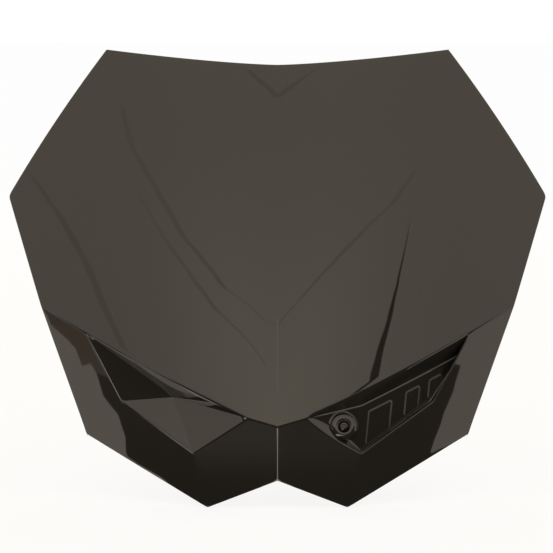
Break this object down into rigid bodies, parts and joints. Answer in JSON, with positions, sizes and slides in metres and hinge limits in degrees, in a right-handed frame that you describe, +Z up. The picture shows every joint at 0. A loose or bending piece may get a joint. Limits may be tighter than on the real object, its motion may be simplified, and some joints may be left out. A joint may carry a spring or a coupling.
{
  "type": "headlight cowl",
  "caption": "Glossy moulded cowl for a motorbike front, with a leaning panel, folded skirts, side pockets, a screw boss and fixings on the back.",
  "frame": {"origin": "midway between the two upper pillars, on their rear faces", "axes": "+X to the viewer's right, -Y to the front, +Z up, as fitted to the bike"},
  "size_m": [0.347, 0.114, 0.284],
  "materials": {
    "shell_plastic": "glossy black moulding",
    "screw_steel": "plated steel, slightly dull",
    "insert_brass": "plain brass, knurled"
  },
  "bodies": {
    "root": {"cowl_shell": "shell_plastic", "pocket_screw": "screw_steel", "boss_insert": "insert_brass"}
  },
  "joints": []
}
